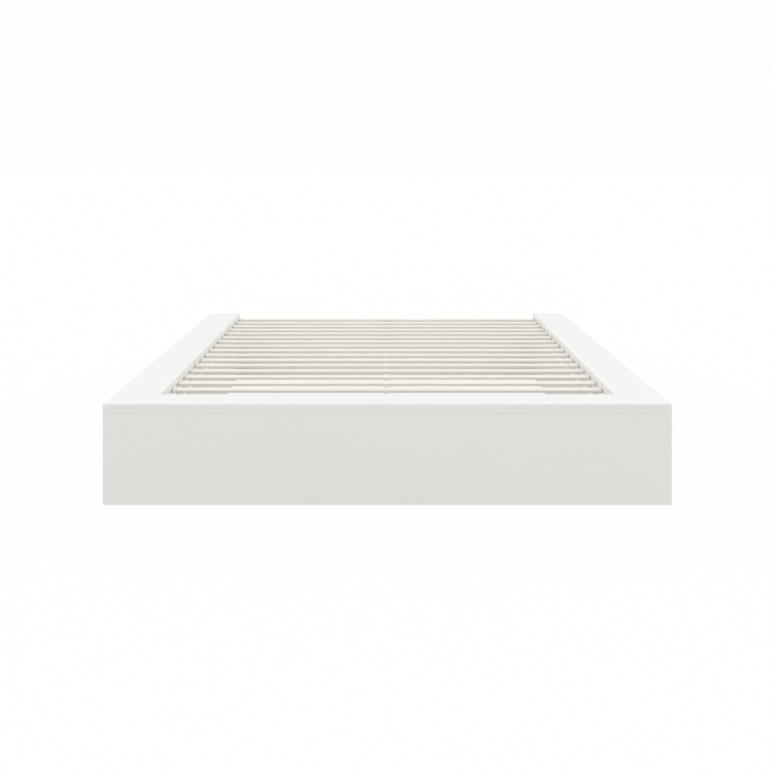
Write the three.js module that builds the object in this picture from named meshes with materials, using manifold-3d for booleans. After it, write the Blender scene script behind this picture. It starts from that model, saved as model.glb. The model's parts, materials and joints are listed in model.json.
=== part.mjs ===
// A low platform bed. A hollow box frame has wide flat ledges down both sides and across the foot,
// and a slatted deck is let in just below them, with a plain panel closing the head end.
// X runs across the bed, the foot is at -Y, the head at +Y, and Z is up.
// The origin is on the floor under the middle of the bed. All lengths are in millimetres.

import * as THREE from 'three';
import { mergeVertices } from 'three/addons/utils/BufferGeometryUtils.js';
import Module from 'manifold-3d';

const wasm = await Module();
wasm.setup();

// Mattress and the clearance that its opening leaves
const mattressWidth = 1524;
const mattressLength = 2032;
const mattressSideClearance = 13;
const mattressEndClearance = 14;

// Box frame
const bedHeight = 333;
const ledgeWidth = 156;
const ledgeThickness = 30;
const outerPanelThickness = 25;
const innerPanelThickness = 18;
const headPanelThickness = 16;
const endCapThickness = 16;
const spacerThickness = 18;
const spacerFloorClearance = 36;
const spacersPerSide = 2;
const ledgeEdgeRadius = 3;
const boardEdgeRadius = 0.5;
const edgeSegments = 2;
const seam = 0.3;

// Slatted deck
const slatCount = 17;
const slatWidth = 50;
const slatThickness = 9;
const slatEdgeRadius = 1;
const slatEndGap = 5;
const deckRecess = 25;
const firstSlatGap = 66;
const lastSlatGap = 5;
const ledgerWidth = 20;
const ledgerHeight = 30;
const ledgerScrews = 7;
const ledgerScrewInset = 110;
const countersinkRadius = 5;
const countersinkDepth = 3;
const tapeWidth = 12;
const tapeThickness = 1.2;
const tapeInset = 51;
const tapeOverhang = 3;

// Middle beam, in two telescoping steel channels
const beamWidth = 20;
const beamHeight = 50;
const beamWall = 1.5;
const beamLip = 5;
const beamLap = 300;
const lapBoltInset = 60;
const boltRadius = 3;
const boltHeadRadius = 5.8;
const boltHeadHeight = 4;
const boltTail = 3;
const nutHeight = 5;
const hexSides = 6;

// Hangers that carry the ends of the beam
const hangerSteel = 2;
const hangerLength = 34;
const hangerWallHeight = 36;
const hangerPlateHeight = 56;
const hangerFlange = 17;
const screwHoleRadius = 2.6;
const hangerHoleEdge = 12;

// Middle leg and its levelling foot
const legPlateWidth = 26;
const legPlateLength = 70;
const legPlateThickness = 3;
const legPlateHoleInset = 11;
const legRadius = 12.5;
const legWall = 1.5;
const plugFlange = 4;
const plugDepth = 20;
const footTravelUp = 12;
const footRadius = 20;
const footHeight = 8;
const footRim = 2.5;
const footChamfer = 1.5;
const footHubRadius = 7;
const footHexHeight = 3.5;
const stemRadius = 4;
const stemLength = 75;
const runningGap = 0.3;

// Corner angles and glides
const angleLeg = 50;
const angleSteel = 3;
const angleHeight = 120;
const angleLift = 90;
const angleHoleInset = 22;
const glideRadius = 11;
const glideHeight = 3;
const glideChamfer = 0.8;
const glideInset = 60;

// Fineness of round forms, and the overrun that every cutter has
const roundSides = 16;
const footSides = 24;
const cutOverrun = 5;

// Planes that the boards share
const openingWidth = mattressWidth + 2 * mattressSideClearance;
const openingLength = mattressLength + 2 * mattressEndClearance;
const halfOpening = openingWidth / 2;
const halfWidth = halfOpening + ledgeWidth;
const bedLength = ledgeWidth + openingLength + headPanelThickness;
const footFace = -bedLength / 2;
const headFace = bedLength / 2;
const deckFoot = footFace + ledgeWidth;
const deckHead = headFace - headPanelThickness;
const ledgeBottom = bedHeight - ledgeThickness;
const panelBottom = glideHeight;
const panelTop = ledgeBottom - seam;
const slatTop = bedHeight - deckRecess;
const slatBottom = slatTop - slatThickness;
const deckBearing = slatBottom - seam;

// Finishes
const whiteBoard = { color: 0xdddeda, roughness: 0.42, metalness: 0 };
const birch = { color: 0xe9dfcc, roughness: 0.6, metalness: 0 };
const paintedPine = { color: 0xe0dfda, roughness: 0.55, metalness: 0 };
const chipboard = { color: 0xc2a983, roughness: 0.85, metalness: 0 };
const galvanised = { color: 0xc9ccd0, roughness: 0.38, metalness: 0.9 };
const zincPlated = { color: 0xb9bcc2, roughness: 0.3, metalness: 0.95 };
const webbing = { color: 0xe6e2d8, roughness: 0.95, metalness: 0 };
const darkPlastic = { color: 0x3a3c3e, roughness: 0.55, metalness: 0 };
const palePlastic = { color: 0xe8e8e6, roughness: 0.5, metalness: 0 };

// Directions for extrusion: the outline's X and Y, then the direction that it is drawn along
const right = new THREE.Vector3(1, 0, 0);
const towardsHead = new THREE.Vector3(0, 1, 0);
const towardsFoot = new THREE.Vector3(0, -1, 0);
const up = new THREE.Vector3(0, 0, 1);
const acrossBed = new THREE.Matrix4().makeBasis(towardsHead, up, right);
const alongBed = new THREE.Matrix4().makeBasis(right, up, towardsFoot);
const upright = new THREE.Matrix4();

// Solids and geometry

function solidOf(geometry) {
  const bare = geometry.clone();
  bare.deleteAttribute('normal');
  bare.deleteAttribute('uv');
  const merged = mergeVertices(bare);
  return new wasm.Manifold(new wasm.Mesh({
    numProp: 3,
    vertProperties: new Float32Array(merged.attributes.position.array),
    triVerts: new Uint32Array(merged.index.array),
  }));
}

function geometryOf(solid) {
  const mesh = solid.getMesh();
  const geometry = new THREE.BufferGeometry();
  geometry.setAttribute('position', new THREE.BufferAttribute(mesh.vertProperties, mesh.numProp));
  geometry.setIndex(new THREE.BufferAttribute(mesh.triVerts, 1));
  geometry.computeVertexNormals();
  return geometry;
}

function cut(geometry, cutters) {
  let solid = solidOf(geometry);
  for (const cutter of cutters) solid = solid.subtract(solidOf(cutter));
  return geometryOf(solid);
}

function fuse(first, second) {
  return geometryOf(solidOf(first).add(solidOf(second)));
}

function common(first, second) {
  return geometryOf(solidOf(first).intersect(solidOf(second)));
}

// An outline drawn through a list of [x, y] corners
function outlineOf(corners) {
  return new THREE.Shape(corners.map(([x, y]) => new THREE.Vector2(x, y)));
}

// A rectangle about the origin with its corners rounded
function roundedRectangle(width, height, radius) {
  const x = width / 2 - radius;
  const y = height / 2 - radius;
  const quarter = Math.PI / 2;
  const outline = new THREE.Shape();
  outline.absarc(x, -y, radius, -quarter, 0);
  outline.absarc(x, y, radius, 0, quarter);
  outline.absarc(-x, y, radius, quarter, 2 * quarter);
  outline.absarc(-x, -y, radius, 2 * quarter, 3 * quarter);
  return outline;
}

// An outline drawn out to a length, with the middle of that length at the origin
function drawnOut(outline, length, direction) {
  const bar = new THREE.ExtrudeGeometry(outline, {
    depth: length, bevelEnabled: false, curveSegments: edgeSegments,
  });
  bar.translate(0, 0, -length / 2);
  return bar.applyMatrix4(direction);
}

// A round bar about the origin, drawn out in the given direction
function roundBar(radius, length, direction, facets = roundSides) {
  const bar = new THREE.CylinderGeometry(radius, radius, length, facets);
  bar.rotateX(Math.PI / 2);
  return bar.applyMatrix4(direction);
}

// A block about the origin with every edge eased
function easedBlock(width, depth, height, radius) {
  const outline = roundedRectangle(width - 2 * radius, depth - 2 * radius, radius);
  const block = new THREE.ExtrudeGeometry(outline, {
    depth: height - 2 * radius,
    bevelThickness: radius,
    bevelSize: radius,
    bevelSegments: edgeSegments,
    curveSegments: edgeSegments,
  });
  block.translate(0, 0, radius - height / 2);
  return block;
}

// A solid of revolution about Z from [radius, height] points
function turned(points, facets) {
  const profile = points.map(([radius, height]) => new THREE.Vector2(radius, height));
  return new THREE.LatheGeometry(profile, facets).rotateX(Math.PI / 2);
}

// Naming and placing pieces

const bed = new THREE.Group();

function place(name, geometry, finish, x, y, z, parent = bed) {
  const mesh = new THREE.Mesh(geometry, new THREE.MeshStandardMaterial(finish));
  mesh.name = name;
  mesh.position.set(x, y, z);
  parent.add(mesh);
}

// A board between two faces in each direction, each given as [low, high], with its holes cut
function placeBoard(name, finish, [left, rightFace], [front, back], [bottom, top], holes = []) {
  const block = easedBlock(rightFace - left, back - front, top - bottom, boardEdgeRadius);
  const middle = [(left + rightFace) / 2, (front + back) / 2, (bottom + top) / 2];
  block.translate(...middle);
  const board = cut(block, holes);
  board.translate(...middle.map((value) => -value));
  place(name, board, finish, ...middle);
}

// A span on one side of the bed, from two distances out from the middle line
function sideSpan(side, near, far) {
  return side > 0 ? [near, far] : [-far, -near];
}

// Box frame

const sides = { left: -1, right: 1 };
const outerPanelInside = halfWidth - outerPanelThickness;
const innerPanelOutside = halfOpening + innerPanelThickness;
const footPanelInside = footFace + outerPanelThickness;
const footInnerOutside = deckFoot - innerPanelThickness;
const frameHeights = [panelBottom, panelTop];
const spacerHeights = [panelBottom + spacerFloorClearance, panelTop];

// A ledge's section is rounded along its two top edges and lies with its top at Z = 0
function ledgeSection() {
  const half = ledgeWidth / 2;
  const section = new THREE.Shape();
  section.moveTo(-half, -ledgeThickness);
  section.lineTo(half, -ledgeThickness);
  section.absarc(half - ledgeEdgeRadius, -ledgeEdgeRadius, ledgeEdgeRadius, 0, Math.PI / 2);
  section.absarc(ledgeEdgeRadius - half, -ledgeEdgeRadius, ledgeEdgeRadius, Math.PI / 2, Math.PI);
  return section;
}

// Keeps the part of a ledge that lies inside a plan outline, so that its ends are mitred
function mitred(bar, plan) {
  const keeper = drawnOut(outlineOf(plan), ledgeThickness + 2 * cutOverrun, upright);
  keeper.translate(0, 0, -ledgeThickness / 2);
  return common(bar, keeper);
}

function sideLedge(side) {
  const outer = side * (halfWidth + cutOverrun);
  const inner = side * (halfOpening - cutOverrun);
  const bar = drawnOut(ledgeSection(), bedLength + 2 * cutOverrun, alongBed);
  bar.translate(side * (halfOpening + ledgeWidth / 2), 0, 0);
  return mitred(bar, [
    [outer, footFace - cutOverrun + seam],
    [inner, deckFoot + cutOverrun + seam],
    [inner, headFace],
    [outer, headFace],
  ]);
}

function footLedge() {
  const outer = halfWidth + cutOverrun;
  const inner = halfOpening - cutOverrun;
  const bar = drawnOut(ledgeSection(), 2 * outer, acrossBed);
  bar.translate(0, footFace + ledgeWidth / 2, 0);
  return mitred(bar, [
    [-outer, footFace - cutOverrun],
    [outer, footFace - cutOverrun],
    [inner, deckFoot + cutOverrun],
    [-inner, deckFoot + cutOverrun],
  ]);
}

// What lies past the mitre of a foot corner: behind it for the foot's board, in front for the side's
function mitreCutter(side, forSide) {
  const outer = halfWidth + cutOverrun;
  const inner = halfOpening - cutOverrun;
  const front = footFace - cutOverrun;
  const back = deckFoot + cutOverrun;
  const gap = forSide ? seam : 0;
  const corner = forSide ? [side * inner, front] : [side * outer, back];
  const wedge = drawnOut(outlineOf([[side * outer, front + gap], [side * inner, back + gap], corner]),
    bedHeight + 2 * cutOverrun, upright);
  return wedge.translate(0, 0, bedHeight / 2);
}

function addSideBox(name, side) {
  const outerSpan = sideSpan(side, outerPanelInside, halfWidth);
  const innerSpan = sideSpan(side, halfOpening, innerPanelOutside);
  const hollowSpan = sideSpan(side, innerPanelOutside + seam, outerPanelInside - seam);
  placeBoard(`${name}_outer_panel`, whiteBoard, outerSpan, [footFace, headFace], frameHeights,
    [mitreCutter(side, true)]);
  placeBoard(`${name}_inner_panel`, whiteBoard, innerSpan, [deckFoot + seam, headFace], frameHeights);
  place(`${name}_ledge_board`, sideLedge(side), whiteBoard, 0, 0, bedHeight);
  placeBoard(`${name}_end_cap`, whiteBoard, hollowSpan, [headFace - endCapThickness, headFace],
    frameHeights);
  const hollowLength = headFace - endCapThickness - deckFoot;
  for (let number = 1; number <= spacersPerSide; number += 1) {
    const middle = deckFoot + hollowLength * number / (spacersPerSide + 1);
    const thickness = [middle - spacerThickness / 2, middle + spacerThickness / 2];
    placeBoard(`${name}_spacer_${number}`, chipboard, hollowSpan, thickness, spacerHeights);
  }
}

function addFootBox() {
  placeBoard('foot_outer_panel', whiteBoard, [-halfWidth, halfWidth], [footFace, footPanelInside],
    frameHeights, [mitreCutter(-1, false), mitreCutter(1, false)]);
  placeBoard('foot_inner_panel', whiteBoard, [seam - outerPanelInside, outerPanelInside - seam],
    [footInnerOutside, deckFoot], frameHeights);
  place('foot_ledge_board', footLedge(), whiteBoard, 0, 0, bedHeight);
  placeBoard('foot_spacer', chipboard, [-spacerThickness / 2, spacerThickness / 2],
    [footPanelInside + seam, footInnerOutside - seam], spacerHeights);
}

function addHeadPanel() {
  placeBoard('head_panel', whiteBoard, [seam - halfOpening, halfOpening - seam],
    [deckHead, headFace], frameHeights);
}

// Slatted deck

const slatLength = openingWidth - 2 * slatEndGap;
const firstSlatMiddle = deckFoot + firstSlatGap + slatWidth / 2;
const lastSlatMiddle = deckHead - lastSlatGap - slatWidth / 2;
const slatPitch = (lastSlatMiddle - firstSlatMiddle) / (slatCount - 1);

function addSlats() {
  const section = roundedRectangle(slatWidth, slatThickness, slatEdgeRadius);
  for (let number = 1; number <= slatCount; number += 1) {
    const middle = firstSlatMiddle + slatPitch * (number - 1);
    const name = `slat_${String(number).padStart(2, '0')}`;
    place(name, drawnOut(section, slatLength, acrossBed), birch, 0, middle,
      slatBottom + slatThickness / 2);
  }
}

// A ledger's screw hole, with its countersink in the ledger's open face
function ledgerHole(side, y) {
  const through = ledgerWidth + cutOverrun;
  const hole = turned([
    [0, -cutOverrun], [countersinkRadius, -cutOverrun], [countersinkRadius, 0],
    [screwHoleRadius, countersinkDepth], [screwHoleRadius, through], [0, through],
  ], roundSides);
  hole.rotateY(side * Math.PI / 2);
  return hole.translate(side * (halfOpening - ledgerWidth), y, deckBearing - ledgerHeight / 2);
}

function addLedger(name, side) {
  const across = sideSpan(side, halfOpening - ledgerWidth, halfOpening - seam);
  const start = deckFoot + seam;
  const end = deckHead - seam;
  const spacing = (end - start - 2 * ledgerScrewInset) / (ledgerScrews - 1);
  const holes = [];
  for (let number = 0; number < ledgerScrews; number += 1) {
    holes.push(ledgerHole(side, start + ledgerScrewInset + spacing * number));
  }
  placeBoard(`${name}_slat_ledger`, paintedPine, across, [start, end],
    [deckBearing - ledgerHeight, deckBearing], holes);
}

// The tape is stapled under every slat and keeps the slats apart
function addTape(name, side) {
  const length = lastSlatMiddle - firstSlatMiddle + slatWidth + 2 * tapeOverhang;
  const section = outlineOf([
    [-tapeWidth / 2, -tapeThickness],
    [tapeWidth / 2, -tapeThickness],
    [tapeWidth / 2, 0],
    [-tapeWidth / 2, 0],
  ]);
  place(`${name}_slat_tape`, drawnOut(section, length, alongBed), webbing,
    side * (halfOpening - tapeInset), (firstSlatMiddle + lastSlatMiddle) / 2, deckBearing);
}

// Middle beam. The head half slides inside the foot half and stands on its lips.

const headBeamWidth = beamWidth - 2 * (beamWall + runningGap);
const headBeamHeight = beamHeight - 2 * (beamWall + runningGap);
const headBeamTop = deckBearing - beamWall - runningGap;
const beamFootEnd = deckFoot + seam + hangerSteel + seam;
const beamHeadEnd = deckHead - seam - hangerSteel - seam;
const lapMiddle = (beamFootEnd + beamHeadEnd) / 2;
const lapFootEnd = lapMiddle - beamLap / 2;
const lapHeadEnd = lapMiddle + beamLap / 2;
const beamBottom = deckBearing - beamHeight;
const boltLevel = deckBearing - beamHeight / 2;

// A channel open downwards, with its top at Z = 0 and its two lips turned in
function lippedChannel() {
  const side = beamWidth / 2;
  const wallFace = side - beamWall;
  const lipEnd = side - beamLip;
  const lipTop = beamWall - beamHeight;
  return outlineOf([
    [lipEnd, -beamHeight], [side, -beamHeight], [side, 0], [-side, 0], [-side, -beamHeight],
    [-lipEnd, -beamHeight], [-lipEnd, lipTop], [-wallFace, lipTop], [-wallFace, -beamWall],
    [wallFace, -beamWall], [wallFace, lipTop], [lipEnd, lipTop],
  ]);
}

// The plain channel that fits inside the lipped one
function plainChannel() {
  const side = headBeamWidth / 2;
  const wallFace = side - beamWall;
  return outlineOf([
    [wallFace, -headBeamHeight], [side, -headBeamHeight], [side, 0], [-side, 0],
    [-side, -headBeamHeight], [-wallFace, -headBeamHeight], [-wallFace, -beamWall],
    [wallFace, -beamWall],
  ]);
}

// Two holes go through both halves where they lap, and every lap bolt stands in one
const lapBolts = { foot: lapFootEnd + lapBoltInset, head: lapHeadEnd - lapBoltInset };

function boltHoleCutters(originY, originZ) {
  return Object.values(lapBolts).map((y) => {
    const cutter = roundBar(boltRadius + runningGap, beamWidth + 2 * cutOverrun, acrossBed);
    return cutter.translate(0, y - originY, boltLevel - originZ);
  });
}

function addBeamHalf(name, outline, footEnd, headEnd, top) {
  const middle = (footEnd + headEnd) / 2;
  const bar = drawnOut(outline, headEnd - footEnd, alongBed);
  place(name, cut(bar, boltHoleCutters(middle, top)), galvanised, 0, middle, top);
}

function lapBolt() {
  const headInside = -beamWidth / 2 - runningGap;
  const tailEnd = beamWidth / 2 + runningGap + nutHeight + boltTail;
  const head = roundBar(boltHeadRadius, boltHeadHeight, acrossBed, hexSides);
  head.translate(headInside - boltHeadHeight / 2, 0, 0);
  const shankStart = headInside - boltHeadHeight / 2;
  const shank = roundBar(boltRadius, tailEnd - shankStart, acrossBed);
  shank.translate((shankStart + tailEnd) / 2, 0, 0);
  return fuse(head, shank);
}

function lapNut() {
  const nut = roundBar(boltHeadRadius, nutHeight, acrossBed, hexSides);
  const bore = roundBar(boltRadius + runningGap, nutHeight + 2 * cutOverrun, acrossBed);
  return cut(nut, [bore]);
}

function addBeam() {
  addBeamHalf('midbeam_foot_half', lippedChannel(), beamFootEnd, lapHeadEnd, deckBearing);
  addBeamHalf('midbeam_head_half', plainChannel(), lapFootEnd, beamHeadEnd, headBeamTop);
  const nutMiddle = beamWidth / 2 + runningGap + nutHeight / 2;
  for (const [end, y] of Object.entries(lapBolts)) {
    place(`midbeam_${end}_bolt`, lapBolt(), zincPlated, 0, y, boltLevel);
    place(`midbeam_${end}_nut`, lapNut(), zincPlated, nutMiddle, y, boltLevel);
  }
}

// A hanger is a plate with an open-topped cradle in front of it. The plate's back is at Y = 0,
// the cradle runs towards +Y, and Z = 0 is the underside of the beam that lies in it.
function hanger(width) {
  const inside = width / 2 + runningGap;
  const outside = inside + hangerSteel;
  const floorTop = -runningGap;
  const floorBottom = floorTop - hangerSteel;
  const cradle = drawnOut(outlineOf([
    [-outside, floorBottom], [outside, floorBottom], [outside, hangerWallHeight],
    [inside, hangerWallHeight], [inside, floorTop], [-inside, floorTop],
    [-inside, hangerWallHeight], [-outside, hangerWallHeight],
  ]), hangerLength, alongBed);
  cradle.translate(0, hangerLength / 2, 0);
  const halfPlate = outside + hangerFlange;
  const plateMiddle = floorBottom + hangerPlateHeight / 2;
  const plate = drawnOut(roundedRectangle(2 * halfPlate, hangerPlateHeight, hangerSteel),
    hangerSteel, alongBed);
  plate.translate(0, hangerSteel / 2, plateMiddle);
  const holes = [];
  for (const side of [-1, 1]) {
    for (const level of [-1, 1]) {
      const hole = roundBar(screwHoleRadius, hangerSteel + 2 * cutOverrun, alongBed);
      const reach = hangerPlateHeight / 2 - hangerHoleEdge;
      hole.translate(side * (outside + hangerFlange / 2), 0, plateMiddle + level * reach);
      holes.push(hole);
    }
  }
  return cut(fuse(cradle, plate), holes);
}

function addHangers() {
  place('midbeam_foot_hanger', hanger(beamWidth), galvanised, 0, deckFoot + seam, beamBottom);
  const headHanger = new THREE.Group();
  headHanger.position.set(0, deckHead - seam, headBeamTop - headBeamHeight);
  headHanger.rotation.z = Math.PI;
  bed.add(headHanger);
  place('midbeam_head_hanger', hanger(headBeamWidth), galvanised, 0, 0, 0, headHanger);
}

// Middle leg. Its levelling foot stands on the floor and screws up and down in the plug.

const legPlateTop = beamBottom - seam;
const legPlateBottom = legPlateTop - legPlateThickness;
const plugBottom = footHeight + footTravelUp + runningGap;
const plugFlangeTop = plugBottom + plugFlange;
const legBottom = plugFlangeTop + runningGap;
const boreRadius = legRadius - legWall;

// The plate and its welded tube, with the top of the plate at Z = 0
function leg() {
  const plate = easedBlock(legPlateWidth, legPlateLength, legPlateThickness, boardEdgeRadius);
  plate.translate(0, 0, -legPlateThickness / 2);
  const tubeTop = -legPlateThickness / 2;
  const tubeBottom = legBottom - legPlateTop;
  const tube = roundBar(legRadius, tubeTop - tubeBottom, upright, footSides);
  tube.translate(0, 0, (tubeTop + tubeBottom) / 2);
  const boreTop = -legPlateThickness;
  const bore = roundBar(boreRadius, boreTop - tubeBottom + cutOverrun, upright, footSides);
  bore.translate(0, 0, (boreTop + tubeBottom - cutOverrun) / 2);
  const boltHoles = [-1, 1].map((end) => {
    const hole = roundBar(boltRadius + runningGap, legPlateThickness + 2 * cutOverrun, upright);
    return hole.translate(0, end * (legPlateLength / 2 - legPlateHoleInset), 0);
  });
  return cut(fuse(plate, tube), [bore, ...boltHoles]);
}

// The plug stands in the tube's open end, with its flange below and its underside at Z = 0
function legPlug() {
  const neck = boreRadius - runningGap;
  const bore = stemRadius + runningGap;
  const top = plugFlange + runningGap + plugDepth;
  return turned([
    [bore, 0], [legRadius, 0], [legRadius, plugFlange], [neck, plugFlange], [neck, top],
    [bore, top], [bore, 0],
  ], footSides);
}

// A domed pad with a hexagon for a spanner, and its stem
function levellingFoot() {
  const domeTop = footHeight - footHexHeight;
  const stemTop = footHeight + stemLength;
  const pad = turned([
    [0, 0], [footRadius - footChamfer, 0], [footRadius, footChamfer], [footRadius, footRim],
    [footHubRadius, domeTop], [stemRadius, domeTop], [stemRadius, stemTop], [0, stemTop],
  ], footSides);
  const hexagon = roundBar(footHubRadius, footHeight - footRim, upright, hexSides);
  hexagon.translate(0, 0, (footRim + footHeight) / 2);
  return fuse(pad, hexagon);
}

function addLeg() {
  place('midbeam_leg', leg(), galvanised, 0, lapMiddle, legPlateTop);
  place('leg_plug', legPlug(), darkPlastic, 0, lapMiddle, plugBottom);
  place('levelling_foot', levellingFoot(), darkPlastic, 0, lapMiddle, 0);
}

// Corner angles, screwed inside the corners of the opening below the deck

function cornerAngle(towardsX, towardsY) {
  const outline = outlineOf([
    [0, 0], [towardsX * angleLeg, 0], [towardsX * angleLeg, towardsY * angleSteel],
    [towardsX * angleSteel, towardsY * angleSteel], [towardsX * angleSteel, towardsY * angleLeg],
    [0, towardsY * angleLeg],
  ]);
  const angle = drawnOut(outline, angleHeight, upright);
  const reach = angleLeg - angleHoleInset / 2;
  const holes = [];
  for (const level of [-1, 1]) {
    const height = level * (angleHeight / 2 - angleHoleInset);
    const deep = angleSteel + 2 * cutOverrun;
    const endHole = roundBar(screwHoleRadius, deep, alongBed);
    endHole.translate(towardsX * reach, towardsY * angleSteel / 2, height);
    const sideHole = roundBar(screwHoleRadius, deep, acrossBed);
    sideHole.translate(towardsX * angleSteel / 2, towardsY * reach, height);
    holes.push(endHole, sideHole);
  }
  return cut(angle, holes);
}

function addCornerAngles() {
  const ends = { foot: [deckFoot + seam, 1], head: [deckHead - seam, -1] };
  for (const [sideName, side] of Object.entries(sides)) {
    for (const [endName, [face, inwards]] of Object.entries(ends)) {
      place(`${endName}_${sideName}_angle`, cornerAngle(-side, inwards), zincPlated,
        side * (halfOpening - seam), face, panelBottom + angleLift + angleHeight / 2);
    }
  }
}

// Glides under the side panels

function glide() {
  const top = glideHeight - seam;
  return turned([
    [0, 0], [glideRadius - glideChamfer, 0], [glideRadius, glideChamfer], [glideRadius, top], [0, top],
  ], roundSides);
}

function addGlides() {
  const places = { foot: footFace + glideInset, middle: 0, head: headFace - glideInset };
  for (const [sideName, side] of Object.entries(sides)) {
    for (const [placeName, y] of Object.entries(places)) {
      place(`${sideName}_${placeName}_glide`, glide(), palePlastic,
        side * (halfWidth - outerPanelThickness / 2), y, 0);
    }
  }
}

for (const [name, side] of Object.entries(sides)) {
  addSideBox(name, side);
  addLedger(name, side);
  addTape(name, side);
}
addFootBox();
addHeadPanel();
addSlats();
addBeam();
addHangers();
addLeg();
addCornerAngles();
addGlides();

export default bed;
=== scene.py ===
"""Looks for a low white platform bed with a slatted deck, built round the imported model.

X runs across the bed, the foot is at -Y, the head at +Y, Z is up, and lengths are in metres.
"""

import json
import math

import bmesh
import bpy
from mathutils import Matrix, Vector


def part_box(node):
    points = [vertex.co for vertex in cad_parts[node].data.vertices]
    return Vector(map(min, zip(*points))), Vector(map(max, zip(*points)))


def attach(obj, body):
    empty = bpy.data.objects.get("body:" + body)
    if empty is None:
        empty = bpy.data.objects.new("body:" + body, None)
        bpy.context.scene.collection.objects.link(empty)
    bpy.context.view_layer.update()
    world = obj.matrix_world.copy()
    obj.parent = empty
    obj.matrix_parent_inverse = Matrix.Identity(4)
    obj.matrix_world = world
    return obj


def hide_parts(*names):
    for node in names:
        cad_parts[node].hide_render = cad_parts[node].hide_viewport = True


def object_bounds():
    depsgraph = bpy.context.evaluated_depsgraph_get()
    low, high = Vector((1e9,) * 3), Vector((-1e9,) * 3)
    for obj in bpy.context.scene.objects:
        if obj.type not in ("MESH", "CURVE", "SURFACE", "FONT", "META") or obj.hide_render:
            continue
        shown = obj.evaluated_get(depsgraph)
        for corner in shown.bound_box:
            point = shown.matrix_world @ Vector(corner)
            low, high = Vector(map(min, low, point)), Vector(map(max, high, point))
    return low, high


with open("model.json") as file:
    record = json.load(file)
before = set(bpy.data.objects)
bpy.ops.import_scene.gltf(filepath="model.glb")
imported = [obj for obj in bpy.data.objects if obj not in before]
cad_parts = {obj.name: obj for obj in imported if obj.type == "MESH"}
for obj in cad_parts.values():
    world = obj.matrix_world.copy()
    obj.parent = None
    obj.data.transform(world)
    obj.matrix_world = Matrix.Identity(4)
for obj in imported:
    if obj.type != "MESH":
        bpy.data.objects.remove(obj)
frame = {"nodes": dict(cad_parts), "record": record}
nodes = frame["nodes"]
CAD_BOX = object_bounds()
MM = 0.001

# Places closer together than this count as one
TOUCH = 0.01 * MM

# A face looks up or down if its normal's rise passes this
LOOKS_ALONG = 0.9

# Camera, set from the photograph's vanishing point and the size of the foot end
CAMERA_PLACE = (-0.0076, -4.729, 1.110)
CAMERA_LENS = 51.63
CAMERA_SENSOR = 36.0
CAMERA_SHIFT_Y = -0.28377

# Studio air: what the lens sees of it, its strength level all round, and what each way adds to that
AIR_TO_LENS = 0.9915
AIR_LEVEL = 0.72
AIR_ZENITH = 0.293
AIR_FOOT = -0.075
AIR_SIDES = 0.56
AIR_LOW_TINT = (1.0, 1.0, 0.968)
AIR_HIGH_TINT = (0.995, 1.0, 1.03)

# Studio floor: the glow and bounce that the bed gets from it, round the bed and beneath it
FLOOR_SIZE = 400.0
FLOOR_GLOW = 0.57
FLOOR_GLOW_UNDER_FOOT = 0.5
FLOOR_GLOW_UNDER_HEAD = 0.82
FLOOR_GLOW_BY_SIDES = 0.7
FLOOR_GLOW_SIDE_START = 0.25
FLOOR_GLOW_BY_HEAD_PANEL = 0.55
FLOOR_GLOW_HEAD_PANEL_REACH = 0.2
FLOOR_GLOW_TINT = (1.0, 1.0, 0.97)
FLOOR_BOUNCE = (0.22, 0.22, 0.22)

# Studio floor as the lens sees it: a white glow, with a share of a shaded surface in it
FLOOR_SEEN_GLOW = 1.015
FLOOR_SEEN_BOUNCE = (0.74, 0.74, 0.735)
FLOOR_SHADED_SHARE = 0.12
FLOOR_SHADED_SHARE_BENEATH = 0.25
FLOOR_SHADE_FADE = 0.12

# The bed's sides and ends, with the way that each lies, and the way into the bed from it
SIDES = {"left": -1, "right": 1}
ENDS = {"foot": -1, "head": 1}
INTO_BED = {"left": "+x", "right": "-x", "foot": "+y", "head": "-y"}

# Slatted deck and its tapes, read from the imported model
SLATS = sorted(name for name in nodes if name.startswith("slat_"))
SLAT_SPANS = [(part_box(name)[0].y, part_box(name)[1].y) for name in SLATS]
SLAT_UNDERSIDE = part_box(SLATS[0])[0].z
SLAT_PITCH = SLAT_SPANS[1][0] - SLAT_SPANS[0][0]
TAPE_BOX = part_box("right_slat_tape")
TAPE_OFF_MIDDLE = (TAPE_BOX[0].x + TAPE_BOX[1].x) / 2
TAPE_WIDTH = TAPE_BOX[1].x - TAPE_BOX[0].x


# Selecting and applying


def put_down():
    """Leaves edit mode and deselects everything."""
    if bpy.context.object is not None and bpy.context.object.mode != "OBJECT":
        bpy.ops.object.mode_set(mode="OBJECT")
    bpy.ops.object.select_all(action="DESELECT")


def take_up(piece):
    """Makes a piece the only one selected, and the active one."""
    put_down()
    piece.select_set(True)
    bpy.context.view_layer.objects.active = piece


def pick(kind, wanted=lambda element: True):
    """In edit mode, selects only the verts, edges or faces that pass a test, or else all of them."""
    bpy.context.tool_settings.mesh_select_mode = [kind == mode for mode in ("verts", "edges", "faces")]
    bpy.ops.mesh.select_all(action="DESELECT")
    shape = bmesh.from_edit_mesh(bpy.context.object.data)
    elements = {"verts": shape.verts, "edges": shape.edges, "faces": shape.faces}[kind]
    for element in [e for e in elements if wanted(e)]:
        element.select_set(True)
    bmesh.update_edit_mesh(bpy.context.object.data)


def middle_of(edge):
    return (edge.verts[0].co + edge.verts[1].co) / 2


def near(first, second):
    return abs(first - second) < TOUCH


def is_level(edge):
    """A test for edges that lie flat."""
    return near(edge.verts[0].co.z, edge.verts[1].co.z)


def level_at(height):
    """A test for edges that lie flat at a height."""
    return lambda edge: is_level(edge) and near(middle_of(edge).z, height)


def faces_up(face):
    return face.normal.z > LOOKS_ALONG


def faces_down(face):
    return face.normal.z < -LOOKS_ALONG


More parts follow.
